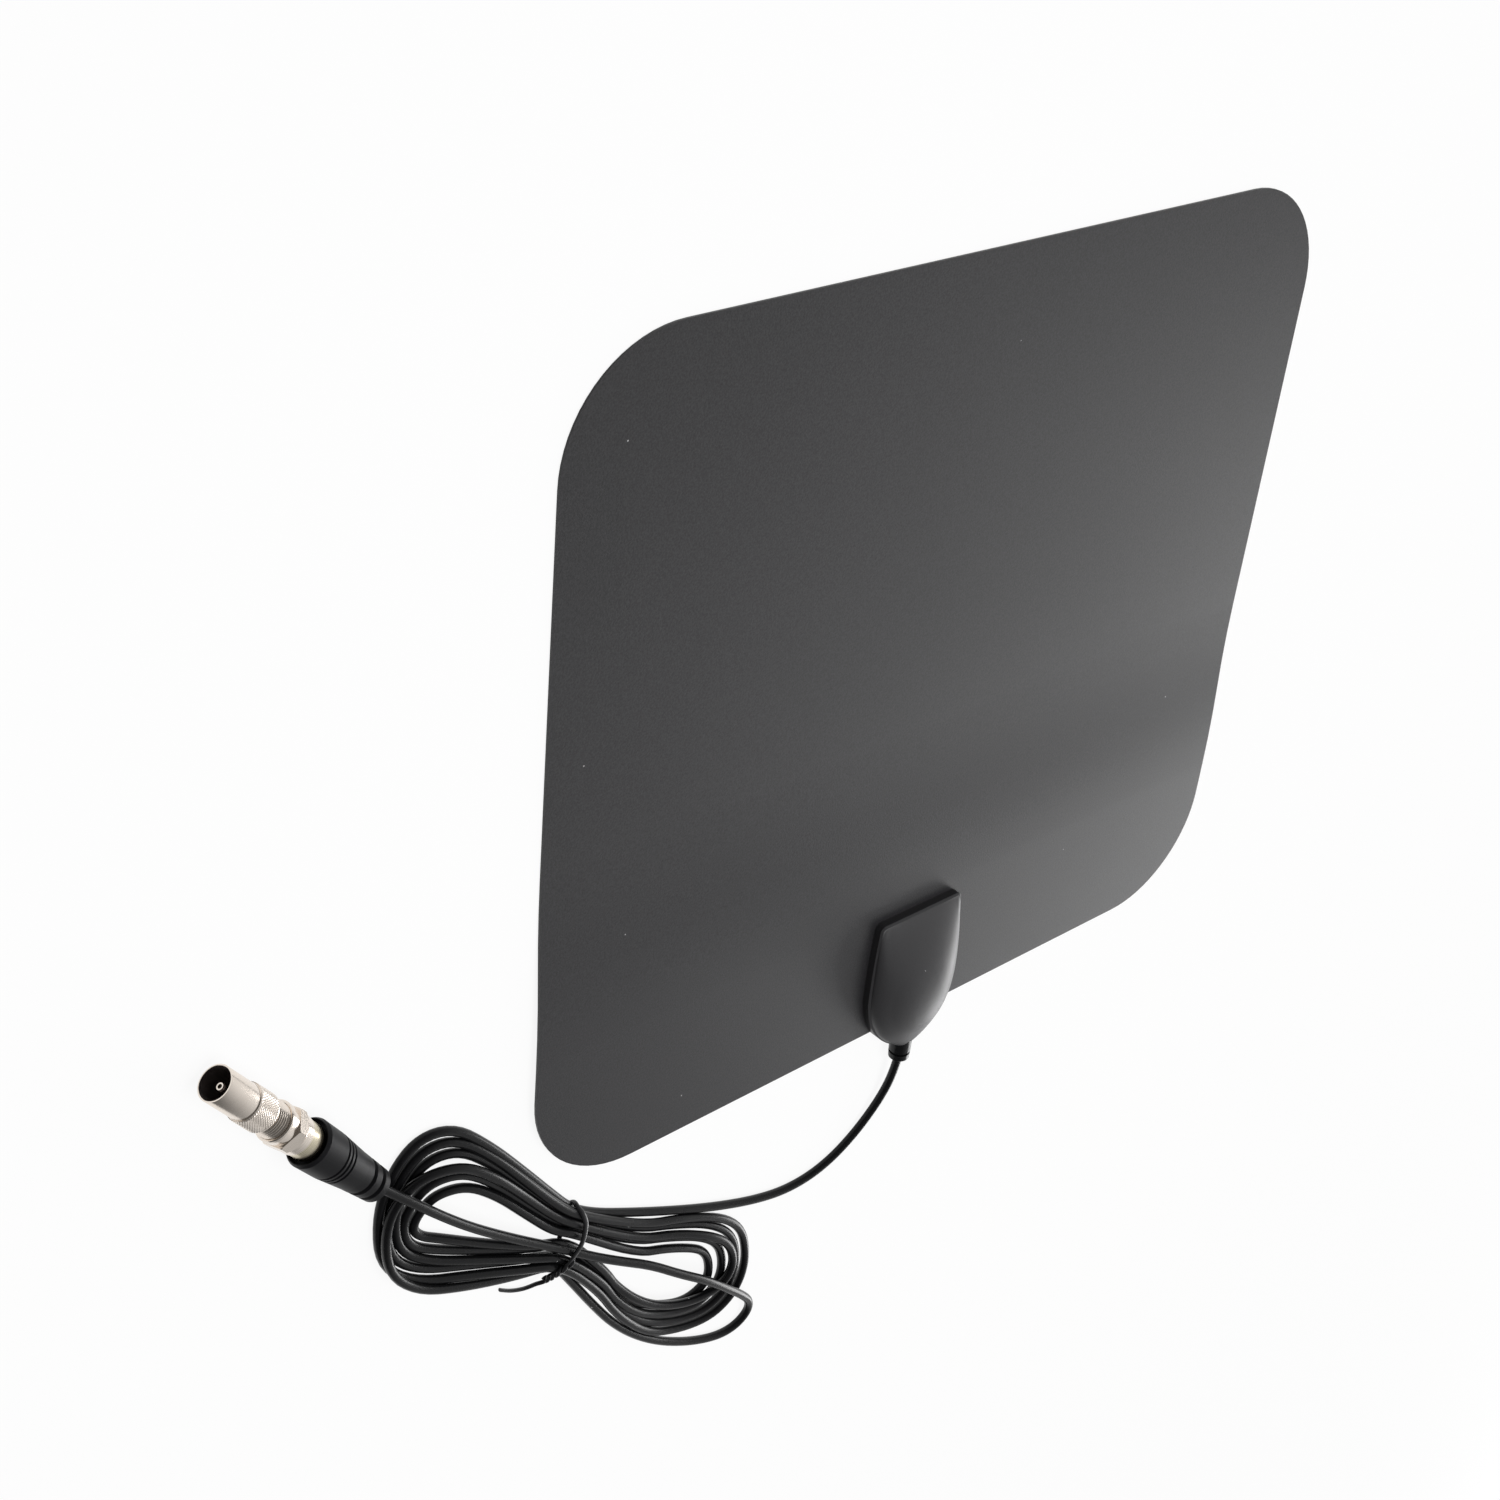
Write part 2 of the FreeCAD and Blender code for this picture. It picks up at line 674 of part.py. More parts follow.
def make_plug_boot():
    """Moulded boot: tapers to the cord, with fine grooves at its ring and broad ones near the back."""
    outline = ((0.0, boot_back_radius - boot_edge), (boot_edge, boot_back_radius),
               (boot_length - boot_waist_distance, boot_waist_radius),
               (boot_length - boot_ring_distance, boot_ring_radius),
               (boot_length - boot_edge, boot_front_radius), (boot_length, boot_front_radius - boot_edge / 2.0))

    def radius_at(distance):
        for (near, near_radius), (far, far_radius) in zip(outline, outline[1:]):
            if distance <= far:
                return near_radius + (far_radius - near_radius) * (distance - near) / (far - near)
        return outline[-1][1]

    grooves = []
    for index in range(broad_grooves):
        middle = boot_length - broad_groove_distance - broad_groove_pitch * index
        grooves.append((middle, broad_groove_width, broad_groove_depth))
    for index in range(fine_grooves):
        middle = boot_length - boot_ring_distance - fine_groove_pitch * index
        grooves.append((middle, fine_groove_width, fine_groove_depth))
    marks = [(distance, radius) for distance, radius in outline
             if all(abs(distance - middle) > width / 2.0 for middle, width, depth in grooves)]
    for middle, width, depth in grooves:
        for step, sink in ((-width / 2.0, 0.0), (-width / 4.0, depth), (width / 4.0, depth), (width / 2.0, 0.0)):
            marks.append((middle + step, radius_at(middle + step) - sink))
    marks.sort()
    points = [(0.0, 0.0)] + marks
    points.extend([(boot_length, boot_mouth_radius), (boot_length - boot_mouth_depth, boot_mouth_radius),
                   (boot_length - boot_mouth_depth, sleeve_radius),
                   (boot_length - sleeve_length, sleeve_radius), (boot_length - sleeve_length, 0.0)])
    return on_plug(turned(points))


def make_plug_body():
    """Turned plug body: crimp sleeve in the boot, visible collar, neck and the flange that keeps the nut."""
    sleeve_back = boot_length - sleeve_length
    collar_back = nut_back - plug_play - collar_length
    collar_front = nut_back - plug_play
    points = [
        (sleeve_back, plug_dielectric_radius), (sleeve_back, sleeve_radius),
        (collar_back, sleeve_radius), (collar_back, collar_radius), (collar_front, collar_radius),
        (collar_front, neck_radius), (flange_back, neck_radius),
        (flange_back, thread_radius), (flange_front, thread_radius), (flange_front, plug_dielectric_radius),
    ]
    return on_plug(turned(points))


def make_plug_dielectric():
    """Foam dielectric of the cord, left standing in the plug body round the centre wire."""
    back = boot_length - sleeve_length
    points = [(back, plug_wire_radius), (back, plug_dielectric_radius),
              (flange_front, plug_dielectric_radius), (flange_front, plug_wire_radius)]
    return on_plug(turned(points))


def make_plug_wire():
    """Bare centre wire of the cord, which is the plug's own pin."""
    back = boot_length - sleeve_length
    length = flange_front + plug_wire_reach - back
    return on_plug(Part.makeCylinder(plug_wire_radius, length, Vector(back, 0, 0), Vector(1, 0, 0)))


def make_coupling_nut():
    """Hexagon nut between a rear ring and a flared front ring, kept on the plug body by its inner lip."""
    step = 2.0 * math.pi / nut_sides
    corner = nut_across_flats / 2.0 / math.cos(step / 2.0)
    points = []
    for index in range(nut_sides + 1):
        angle = step * index + math.radians(nut_angle_deg)
        points.append(Vector(nut_hex_back, corner * math.cos(angle), corner * math.sin(angle)))
    hexagon = Part.Face(Part.makePolygon(points)).extrude(Vector(nut_hex_length, 0, 0))
    envelope = turned([(nut_hex_back, 0.0), (nut_hex_back, nut_rear_radius), (nut_hex_back + nut_taper, corner),
                       (nut_hex_end - nut_edge, corner), (nut_hex_end, corner - nut_edge), (nut_hex_end, 0.0)])
    rear = turned([(nut_back, 0.0), (nut_back, nut_rear_radius - nut_edge), (nut_back + nut_edge, nut_rear_radius),
                   (nut_hex_back, nut_rear_radius), (nut_hex_back, 0.0)])
    ring = turned([(nut_hex_end, 0.0), (nut_hex_end, nut_neck_radius), (nut_front - nut_rim_length, nut_ring_radius),
                   (nut_front - nut_edge, nut_ring_radius), (nut_front, nut_ring_radius - nut_edge),
                   (nut_front, 0.0)])
    lip_end = nut_back + nut_lip
    bore = turned([(nut_back, 0.0), (nut_back, neck_radius + thread_clearance),
                   (lip_end, neck_radius + thread_clearance), (lip_end, thread_radius + thread_clearance),
                   (nut_front, thread_radius + thread_clearance), (nut_front, 0.0)])
    return on_plug(hexagon.common(envelope).fuse([rear, ring]).cut(bore).removeSplitter())


def make_adapter_body():
    """Turned adapter: threaded neck, knurled grip and thin barrel, with a web that holds the bush."""
    inner = barrel_radius - barrel_wall
    points = [
        (adapter_back, adapter_rear_bore), (adapter_back, thread_radius),
        (knurl_back, thread_radius), (knurl_back, knurl_radius - knurl_edge),
        (knurl_back + knurl_edge, knurl_radius), (barrel_back - knurl_edge, knurl_radius),
        (barrel_back, knurl_radius - knurl_edge), (barrel_back, barrel_radius),
        (barrel_front - barrel_lip, barrel_radius), (barrel_front, barrel_radius - barrel_lip),
        (barrel_front, inner), (barrel_back, inner),
        (barrel_back, bush_radius), (web_back, bush_radius), (web_back, adapter_rear_bore),
    ]
    return on_plug(turned(points))


def make_adapter_bush():
    """Plastic bush pressed in the adapter's web, round the tail of the pin."""
    points = [(bush_back, pin_tail_radius), (bush_back, bush_radius),
              (bush_front, bush_radius), (bush_front, pin_tail_radius)]
    return on_plug(turned(points))


def make_adapter_pin():
    """Turned pin with a hollow tip in the barrel and a socket for the plug's wire at its back."""
    tip = barrel_front - pin_recess
    points = [
        (bush_back, socket_radius), (bush_back, pin_tail_radius), (bush_front, pin_tail_radius),
        (bush_front, pin_radius), (tip - pin_radius / 2.0, pin_radius), (tip, pin_radius - pin_tail_radius / 4.0),
        (tip, pin_tip_bore), (tip - pin_tip_depth, pin_tip_bore), (tip - pin_tip_depth, 0.0),
        (bush_back + socket_depth, 0.0), (bush_back + socket_depth, socket_radius),
    ]
    return on_plug(turned(points))


def tube(points, radius, name):
    """Round tube along straight runs joined by arcs, each as large as its two runs allow."""
    path = [Vector(*point) for point in points]
    edges = []
    start = path[0]
    radii = []
    for before, corner, after in zip(path, path[1:], path[2:]):
        arriving = (corner - before).normalize()
        leaving = (after - corner).normalize()
        turn = arriving.getAngle(leaving)
        reach = cord_arc_share * min((corner - before).Length, (after - corner).Length)
        radii.append(reach / math.tan(turn / 2.0))
        enter = corner - arriving * reach
        leave = corner + leaving * reach
        inward = (leaving - arriving).normalize()
        middle = corner + inward * (radii[-1] * (1.0 / math.cos(turn / 2.0) - 1.0))
        edges.append(Part.LineSegment(start, enter).toShape())
        edges.append(Part.Arc(enter, middle, leave).toShape())
        start = leave
    edges.append(Part.LineSegment(start, path[-1]).toShape())
    wire = Part.Wire(edges)
    profile = Part.Wire(Part.makeCircle(radius, path[0], path[1] - path[0]))
    solid = wire.makePipeShell([profile], True, False)
    section = math.pi * radius ** 2
    print(name, "length", round(wire.Length, 1), "smallest radius", round(min(radii), 1),
          "volume over section times length", round(solid.Volume / (section * wire.Length), 4))
    return solid


def make_cable_lead():
    """Cord from the strain relief to the hank."""
    return tube(((housing_offset, relief_end, cord_z),) + lead_points, cord_radius, "cable_lead")


def make_plug_lead():
    """Cord from the hank, over its two lobes, to the boot of the plug."""
    return tube(plug_lead_points + ((plug_back_x, plug_back_y, boot_front_radius),), cord_radius, "plug_lead")


def round_outline(points):
    """Closed smooth wire through (x, y) points, in the plane z = 0."""
    curve = Part.BSplineCurve()
    curve.interpolate([Vector(x, y, 0) for x, y in points], PeriodicFlag=True)
    return Part.Wire(curve.toShape())


def make_cord_hank():
    """Outer form of the tied hank: two open lobes that meet at the tie."""
    body = prism(round_outline(hank_outline), 0.0, hank_height)
    body = body.makeChamfer(hank_edge, [edge for edge in body.Edges if edge.BoundBox.ZLength < hank_edge])
    for hole in (upper_hole, lower_hole):
        body = body.cut(prism(round_outline(hole), 0.0, hank_height))
    return body


def make_twist_tie():
    """Tie band drawn round the waist of the hank, with a free end that lies beside it."""
    band = rounded_rectangle(tie_span + 2.0 * tie_thick, hank_height + tie_thick, hank_edge + tie_thick)
    opening = rounded_rectangle(tie_span, hank_height - tie_thick, hank_edge)
    ring = prism(band, 0.0, tie_width).cut(prism(opening, 0.0, tie_width))
    ring.rotate(Vector(0, 0, 0), Vector(1, 0, 0), 90.0)
    ring.translate(Vector(0, tie_width / 2.0, (hank_height + tie_thick) / 2.0))
    ring.rotate(Vector(0, 0, 0), Vector(0, 0, 1), tie_heading_deg)
    ring.translate(Vector(tie_centre[0], tie_centre[1], 0))
    return ring.fuse(tube(tie_tail_points, tie_tail_radius, "tie tail")).removeSplitter()


pieces = {
    "back_film": make_back_film,
    "antenna_foil": make_antenna_foil,
    "front_film": make_front_film,
    "housing_back": make_housing_back,
    "feed_rivets": make_feed_rivets,
    "feed_board": make_feed_board,
    "balun_core": make_balun_core,
    "cable_tail": make_cable_tail,
    "strain_relief": make_strain_relief,
    "housing_front": make_housing_front,
    "cable_lead": make_cable_lead,
    "cord_hank": make_cord_hank,
    "twist_tie": make_twist_tie,
    "plug_lead": make_plug_lead,
    "plug_boot": make_plug_boot,
    "plug_body": make_plug_body,
    "plug_dielectric": make_plug_dielectric,
    "plug_wire": make_plug_wire,
    "coupling_nut": make_coupling_nut,
    "adapter_body": make_adapter_body,
    "adapter_bush": make_adapter_bush,
    "adapter_pin": make_adapter_pin,
}

os.makedirs("parts", exist_ok=True)
for node, make in pieces.items():
    shape = make()
    print(node, "solids", len(shape.Solids), "valid", shape.isValid(), "volume", round(shape.Volume, 1))
    shape.exportStep("parts/" + node + ".step")
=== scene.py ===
import math

import bmesh
import bpy
from mathutils import Matrix, Vector


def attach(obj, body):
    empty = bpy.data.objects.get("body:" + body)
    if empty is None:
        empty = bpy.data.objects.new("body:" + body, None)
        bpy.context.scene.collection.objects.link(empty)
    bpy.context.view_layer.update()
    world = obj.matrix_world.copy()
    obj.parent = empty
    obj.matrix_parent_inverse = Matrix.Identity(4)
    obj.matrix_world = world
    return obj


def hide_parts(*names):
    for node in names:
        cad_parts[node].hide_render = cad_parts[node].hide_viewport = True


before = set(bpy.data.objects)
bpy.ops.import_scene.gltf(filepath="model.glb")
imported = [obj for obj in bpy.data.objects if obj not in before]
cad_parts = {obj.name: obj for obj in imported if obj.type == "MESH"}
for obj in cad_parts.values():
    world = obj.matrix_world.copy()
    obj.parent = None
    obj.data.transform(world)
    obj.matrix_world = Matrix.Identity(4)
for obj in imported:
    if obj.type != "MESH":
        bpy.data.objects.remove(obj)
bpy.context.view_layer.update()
bpy.ops.object.select_all(action="DESELECT")


# The sheet is two charcoal polyester films, bonded over the foil and die cut with round corners.
# Their faces have a fine matt grain with a few specks of dust, and the cut edge is darker than the face.
matt_grain = bpy.data.node_groups.new("matt grain", "ShaderNodeTree")
for socket in ("Fine", "Broad"):
    matt_grain.interface.new_socket(socket, in_out="INPUT", socket_type="NodeSocketFloat")
for socket in ("Grain", "Cloud"):
    matt_grain.interface.new_socket(socket, in_out="OUTPUT", socket_type="NodeSocketFloat")
grain_in = matt_grain.nodes.new("NodeGroupInput")
grain_out = matt_grain.nodes.new("NodeGroupOutput")
grain_place = matt_grain.nodes.new("ShaderNodeTexCoord")
for size, result, detail in (("Fine", "Grain", 4.0), ("Broad", "Cloud", 2.0)):
    noise = matt_grain.nodes.new("ShaderNodeTexNoise")
    noise.inputs["Detail"].default_value = detail
    matt_grain.links.new(grain_place.outputs["Object"], noise.inputs["Vector"])
    matt_grain.links.new(grain_in.outputs[size], noise.inputs["Scale"])
    matt_grain.links.new(noise.outputs["Fac"], grain_out.inputs[result])

dust_specks = bpy.data.node_groups.new("dust specks", "ShaderNodeTree")
dust_specks.interface.new_socket("Density", in_out="INPUT", socket_type="NodeSocketFloat")
dust_specks.interface.new_socket("Size", in_out="INPUT", socket_type="NodeSocketFloat")
dust_specks.interface.new_socket("Speck", in_out="OUTPUT", socket_type="NodeSocketFloat")
speck_in = dust_specks.nodes.new("NodeGroupInput")
speck_out = dust_specks.nodes.new("NodeGroupOutput")
speck_place = dust_specks.nodes.new("ShaderNodeTexCoord")
speck_cells = dust_specks.nodes.new("ShaderNodeTexVoronoi")
speck_small = dust_specks.nodes.new("ShaderNodeMath")
speck_small.operation = "LESS_THAN"
dust_specks.links.new(speck_place.outputs["Object"], speck_cells.inputs["Vector"])
dust_specks.links.new(speck_in.outputs["Density"], speck_cells.inputs["Scale"])
dust_specks.links.new(speck_cells.outputs["Distance"], speck_small.inputs[0])
dust_specks.links.new(speck_in.outputs["Size"], speck_small.inputs[1])
dust_specks.links.new(speck_small.outputs["Value"], speck_out.inputs["Speck"])


def start_finish(name):
    material = bpy.data.materials.new(name)
    material.use_nodes = True
    nodes = material.node_tree.nodes
    return material, nodes, material.node_tree.links, nodes["Principled BSDF"]


def ranged(nodes, links, source, low, high, target, from_low=0.3, from_high=0.7):
    span = nodes.new("ShaderNodeMapRange")
    span.inputs["From Min"].default_value = from_low
    span.inputs["From Max"].default_value = from_high
    span.inputs["To Min"].default_value = low
    span.inputs["To Max"].default_value = high
    links.new(source, span.inputs["Value"])
    links.new(span.outputs["Result"], target)


def mixed(nodes, links, factor, first, second, target=None):
    mix = nodes.new("ShaderNodeMix")
    mix.data_type = "RGBA"
    links.new(factor, mix.inputs["Factor"])
    for value, socket in ((first, mix.inputs[6]), (second, mix.inputs[7])):
        if isinstance(value, tuple):
            socket.default_value = (*value, 1.0)
        else:
            links.new(value, socket)
    if target is not None:
        links.new(mix.outputs[2], target)
    return mix.outputs[2]


def grained_plastic(name, dark, light, smooth, rough, fine, broad, depth, shine=0.5):
    material, nodes, links, shader = start_finish(name)
    shader.inputs["Specular IOR Level"].default_value = shine
    grain = nodes.new("ShaderNodeGroup")
    grain.node_tree = matt_grain
    grain.inputs["Fine"].default_value = fine
    grain.inputs["Broad"].default_value = broad
    tone = mixed(nodes, links, grain.outputs["Grain"], dark, light, shader.inputs["Base Color"])
    ranged(nodes, links, grain.outputs["Cloud"], smooth, rough, shader.inputs["Roughness"])
    bump = nodes.new("ShaderNodeBump")
    bump.inputs["Strength"].default_value = 0.35
    bump.inputs["Distance"].default_value = depth
    links.new(grain.outputs["Grain"], bump.inputs["Height"])
    links.new(bump.outputs["Normal"], shader.inputs["Normal"])
    return material, tone


def dust_over(material, tone, density, size, colour):
    nodes = material.node_tree.nodes
    links = material.node_tree.links
    specks = nodes.new("ShaderNodeGroup")
    specks.node_tree = dust_specks
    specks.inputs["Density"].default_value = density
    specks.inputs["Size"].default_value = size
    mixed(nodes, links, specks.outputs["Speck"], tone, colour, nodes["Principled BSDF"].inputs["Base Color"])


def dress(material, *nodes):
    for node in nodes:
        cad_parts[node].data.materials.clear()
        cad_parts[node].data.materials.append(material)


film, film_tone = grained_plastic(
    "charcoal film", dark=(0.003, 0.0029, 0.0034), light=(0.040, 0.0393, 0.0418), smooth=0.355, rough=0.385,
    fine=1900.0, broad=14.0, depth=0.00010, shine=0.35)
film_nodes = film.node_tree.nodes
film_links = film.node_tree.links
film_facing = film_nodes.new("ShaderNodeTexCoord")
film_up = film_nodes.new("ShaderNodeSeparateXYZ")
film_level = film_nodes.new("ShaderNodeMath")
film_level.operation = "ABSOLUTE"
film_links.new(film_facing.outputs["Normal"], film_up.inputs["Vector"])
film_links.new(film_up.outputs["Z"], film_level.inputs[0])
film_cut_edge = (0.012, 0.012, 0.013)
film_face = mixed(film_nodes, film_links, film_level.outputs["Value"], film_cut_edge, film_tone)
dust_over(film, film_face, density=60.0, size=0.013, colour=(0.4, 0.4, 0.4))
dress(film, "back_film", "front_film")


# The antenna itself is two loops of rolled aluminium foil, stamped and laid between the films.
# It shows only if the films are taken apart, so it has the fine streaks of rolling and no dirt.
foil, foil_nodes, foil_links, foil_shader = start_finish("rolled foil")
foil_shader.inputs["Metallic"].default_value = 1.0
foil_place = foil_nodes.new("ShaderNodeTexCoord")
foil_stretch = foil_nodes.new("ShaderNodeMapping")
foil_stretch.inputs["Scale"].default_value = (30.0, 1800.0, 30.0)
foil_streaks = foil_nodes.new("ShaderNodeTexNoise")
foil_streaks.inputs["Scale"].default_value = 1.0
foil_links.new(foil_place.outputs["Object"], foil_stretch.inputs["Vector"])
foil_links.new(foil_stretch.outputs["Vector"], foil_streaks.inputs["Vector"])
mixed(foil_nodes, foil_links, foil_streaks.outputs["Fac"], (0.68, 0.68, 0.69), (0.82, 0.82, 0.83),
      foil_shader.inputs["Base Color"])
ranged(foil_nodes, foil_links, foil_streaks.outputs["Fac"], 0.24, 0.42, foil_shader.inputs["Roughness"])
dress(foil, "antenna_foil")


# Two brass rivets join the foil to a small coated circuit board, and a ferrite block on the board
# carries the matching transformer. The plug's centre wire has the same brass colour as the rivets.
brass, brass_nodes, brass_links, brass_shader = start_finish("plain brass")
brass_shader.inputs["Metallic"].default_value = 1.0
brass_grain = brass_nodes.new("ShaderNodeGroup")
brass_grain.node_tree = matt_grain
brass_grain.inputs["Fine"].default_value = 2200.0
brass_grain.inputs["Broad"].default_value = 300.0
mixed(brass_nodes, brass_links, brass_grain.outputs["Cloud"], (0.62, 0.40, 0.17), (0.76, 0.52, 0.25),
      brass_shader.inputs["Base Color"])
ranged(brass_nodes, brass_links, brass_grain.outputs["Grain"], 0.25, 0.4, brass_shader.inputs["Roughness"])
dress(brass, "feed_rivets", "plug_wire")

board, board_nodes, board_links, board_shader = start_finish("coated board")
board_place = board_nodes.new("ShaderNodeTexCoord")
board_tracks = board_nodes.new("ShaderNodeTexBrick")
board_tracks.inputs["Scale"].default_value = 160.0
board_tracks.inputs["Mortar Size"].default_value = 0.06
board_tracks.inputs["Color1"].default_value = (0.030, 0.120, 0.045, 1.0)
board_tracks.inputs["Color2"].default_value = (0.040, 0.150, 0.060, 1.0)
board_tracks.inputs["Mortar"].default_value = (0.060, 0.230, 0.090, 1.0)
board_links.new(board_place.outputs["Object"], board_tracks.inputs["Vector"])
board_links.new(board_tracks.outputs["Color"], board_shader.inputs["Base Color"])
ranged(board_nodes, board_links, board_tracks.outputs["Fac"], 0.3, 0.45, board_shader.inputs["Roughness"],
       from_low=0.0, from_high=1.0)
dress(board, "feed_board")

ferrite = grained_plastic(
    "sintered ferrite", dark=(0.040, 0.040, 0.041), light=(0.075, 0.073, 0.070), smooth=0.55, rough=0.75,
    fine=3000.0, broad=500.0, depth=0.00004)[0]
dress(ferrite, "balun_core")


# The cord's jacket is black vinyl with a soft gloss, and the strain relief is moulded on in the same vinyl.
# Handling leaves it a little duller in patches. Its stripped end inside the housing is dressed here too.
jacket, jacket_tone = grained_plastic(
    "black vinyl", dark=(0.003, 0.003, 0.0033), light=(0.007, 0.007, 0.0078), smooth=0.24, rough=0.32,
    fine=900.0, broad=60.0, depth=0.00002, shine=0.2)
dust_over(jacket, jacket_tone, density=150.0, size=0.03, colour=(0.5, 0.5, 0.5))
dress(jacket, "strain_relief", "cable_tail")


# The housing is a flat back cover and a swelling front shell in dark satin plastic, clamped on the sheet by
# two posts. The mould's fine spark texture covers it. The real shell is rounder about its crown than the
# solid, so a copy of that is pressed down towards its rim.
housing, housing_tone = grained_plastic(
    "satin housing", dark=(0.023, 0.0225, 0.0240), light=(0.043, 0.0425, 0.0447), smooth=0.41, rough=0.47,
    fine=3200.0, broad=60.0, depth=0.00003)
dust_over(housing, housing_tone, density=130.0, size=0.022, colour=(0.6, 0.6, 0.6))
dress(housing, "housing_back")

shell_crown = Vector((0.003, -0.104, 0.0))
shell_half_width = 0.018
shell_half_length = 0.030
shell_press = 0.0027
shell_rim = 0.0057
shell_shoulder = 0.0120
shell_mesh = bmesh.new()
shell_mesh.from_mesh(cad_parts["housing_front"].data)
bmesh.ops.remove_doubles(shell_mesh, verts=shell_mesh.verts, dist=0.000001)
shell_mesh.verts.index_update()
shell_points = []
for vert in shell_mesh.verts:
    aside = vert.co - shell_crown
    share = (aside.x / shell_half_width) ** 2 + (aside.y / shell_half_length) ** 2
    rise = min(1.0, max(0.0, (vert.co.z - shell_rim) / (shell_shoulder - shell_rim)))
    shell_points.append((vert.co.x, vert.co.y, vert.co.z - shell_press * share * rise))
shell_faces = [[vert.index for vert in face.verts] for face in shell_mesh.faces]
shell_mesh.free()
# A mesh from plain points leaves the solid's own normals behind, which don't fit the pressed form
shell_data = bpy.data.meshes.new("feed_shell")
shell_data.from_pydata(shell_points, [], shell_faces)


def linked(name, data):
    piece = bpy.data.objects.new(name, data)
    bpy.context.collection.objects.link(piece)
    return piece


def smooth_faces(piece, degrees):
    bpy.context.view_layer.objects.active = piece
    piece.select_set(True)
    bpy.ops.object.shade_smooth_by_angle(angle=math.radians(degrees))
    piece.select_set(False)


shell = linked("feed_shell", shell_data)
smooth_faces(shell, 24.0)
shell_data.materials.append(housing)
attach(shell, "antenna")
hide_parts("housing_front")


# The cord is 2.4 m of thin coaxial cable. From the relief it lies in a bow to a hank of six flattened turns,
# and after the last one it comes back across the hank to the plug. Its route is in millimetres.
cord_diameter = 0.0028
cord_floor = 1.42
lead_run = [
    (3.0, -139.6, 4.6), (2.6, -146.4, 3.9), (0.4, -154.4, 2.9), (-4.2, -162.2, 2.0), (-10.6, -168.8, 1.5),
    (-18.7, -173.7, cord_floor), (-28.3, -176.3, cord_floor), (-39.5, -176.2, cord_floor),
    (-52.0, -173.0, cord_floor), (-65.0, -168.0, 1.5), (-78.0, -162.2, 1.5), (-91.0, -155.9, 1.45),
    (-104.0, -149.2, cord_floor), (-116.0, -142.6, cord_floor),
]
plug_run = [
    (-121.5, -168.2, cord_floor), (-114.5, -179.9, cord_floor), (-106.5, -192.3, cord_floor),
    (-97.2, -203.4, cord_floor), (-87.0, -212.6, cord_floor), (-76.2, -219.8, cord_floor),
    (-66.6, -224.6, cord_floor), (-58.9, -226.9, cord_floor), (-52.8, -226.3, 1.5), (-49.0, -222.2, 2.0),
    (-49.6, -216.4, 2.9), (-54.9, -209.6, 4.2), (-63.9, -199.9, 5.9), (-74.0, -189.7, 7.0),
    (-85.2, -180.6, 6.9), (-96.4, -171.0, 6.1), (-108.2, -162.9, 5.7), (-119.3, -154.8, 5.2),
    (-130.5, -145.5, 4.8), (-141.5, -136.9, 4.8), (-152.5, -127.5, 5.4), (-163.1, -117.8, 6.2),
    (-171.8, -108.9, 6.9), (-179.4, -100.7, 7.3), (-185.4, -94.4, 7.1), (-192.7, -86.6, 6.6),
    (-201.4, -75.6, 6.6),
]
left_outer = [
    (-133.3, -124.9), (-143.6, -110.9), (-153.8, -97.6), (-165.5, -85.0), (-177.0, -83.0), (-185.0, -90.8),
    (-189.4, -103.5), (-188.4, -121.5), (-178.6, -134.2), (-162.4, -142.6), (-143.1, -151.4),
]
left_inner = [
    (-132.6, -138.6), (-142.4, -127.0), (-151.3, -116.2), (-160.8, -107.8), (-170.3, -105.2),
    (-176.0, -107.1), (-179.6, -112.0), (-177.1, -117.9), (-170.5, -122.2), (-155.9, -131.5),
    (-139.1, -141.5),
]
right_outer = [
    (-114.3, -172.6), (-106.1, -188.0), (-92.8, -204.9), (-78.6, -212.6), (-65.6, -215.3), (-57.2, -211.7),
    (-52.9, -204.3), (-52.3, -194.4), (-55.8, -181.9), (-66.8, -170.9), (-83.4, -162.0), (-98.3, -155.8),
]
right_inner = [
    (-111.9, -166.5), (-108.0, -174.3), (-100.2, -184.2), (-90.9, -192.4), (-80.9, -197.6), (-74.1, -197.5),
    (-70.1, -195.3), (-70.0, -189.3), (-72.1, -184.4), (-76.4, -179.4), (-88.1, -171.7), (-100.5, -165.9),
]
# Each turn's share of the way from a lobe's outer to its inner line, at four places along it, and its hump
left_turns = [
    ((0.0, 0.0, 0.0, 0.33), 0.0), ((0.18, 0.19, 0.27, 0.51), 0.0), ((0.37, 0.38, 0.54, 0.67), 0.0),
    ((0.76, 0.77, 0.78, 0.84), 0.0), ((1.0, 1.0, 1.1, 1.04), 0.0), ((0.56, 0.56, 0.03, 0.0), 2.85),
]
right_turns = [
    ((0.0, 0.0, 0.0, 0.0), 0.0), ((0.25, 0.25, 0.24, 0.28), 0.0), ((0.5, 0.52, 0.58, 0.72), 0.0),
    ((0.77, 0.8, 0.9, 1.0), 0.0), ((1.0, 0.97, 0.42, 0.5), 2.85),
]
# Place along the tie and height of each turn where it goes through the tie, out and back
tie_out = [(9.3, cord_floor), (8.7, 4.2), (6.3, cord_floor), (3.3, cord_floor), (2.9, 4.2), (5.8, 4.2)]
tie_back = [(-8.4, 4.2), (-6.3, cord_floor), (-5.6, 4.2), (-2.5, cord_floor), (0.1, 4.0), (-9.9, cord_floor)]
tie_centre = Vector((-127.2, -145.0))
tie_turn = math.radians(75.5)
tie_along = Vector((math.cos(tie_turn), math.sin(tie_turn)))
# Share of the height in the tie at a lobe's first point, its loss at each further one, and a hump's steepness
tie_height_kept = 0.75
tie_height_lost = 0.25
hump_steepness = 6.4


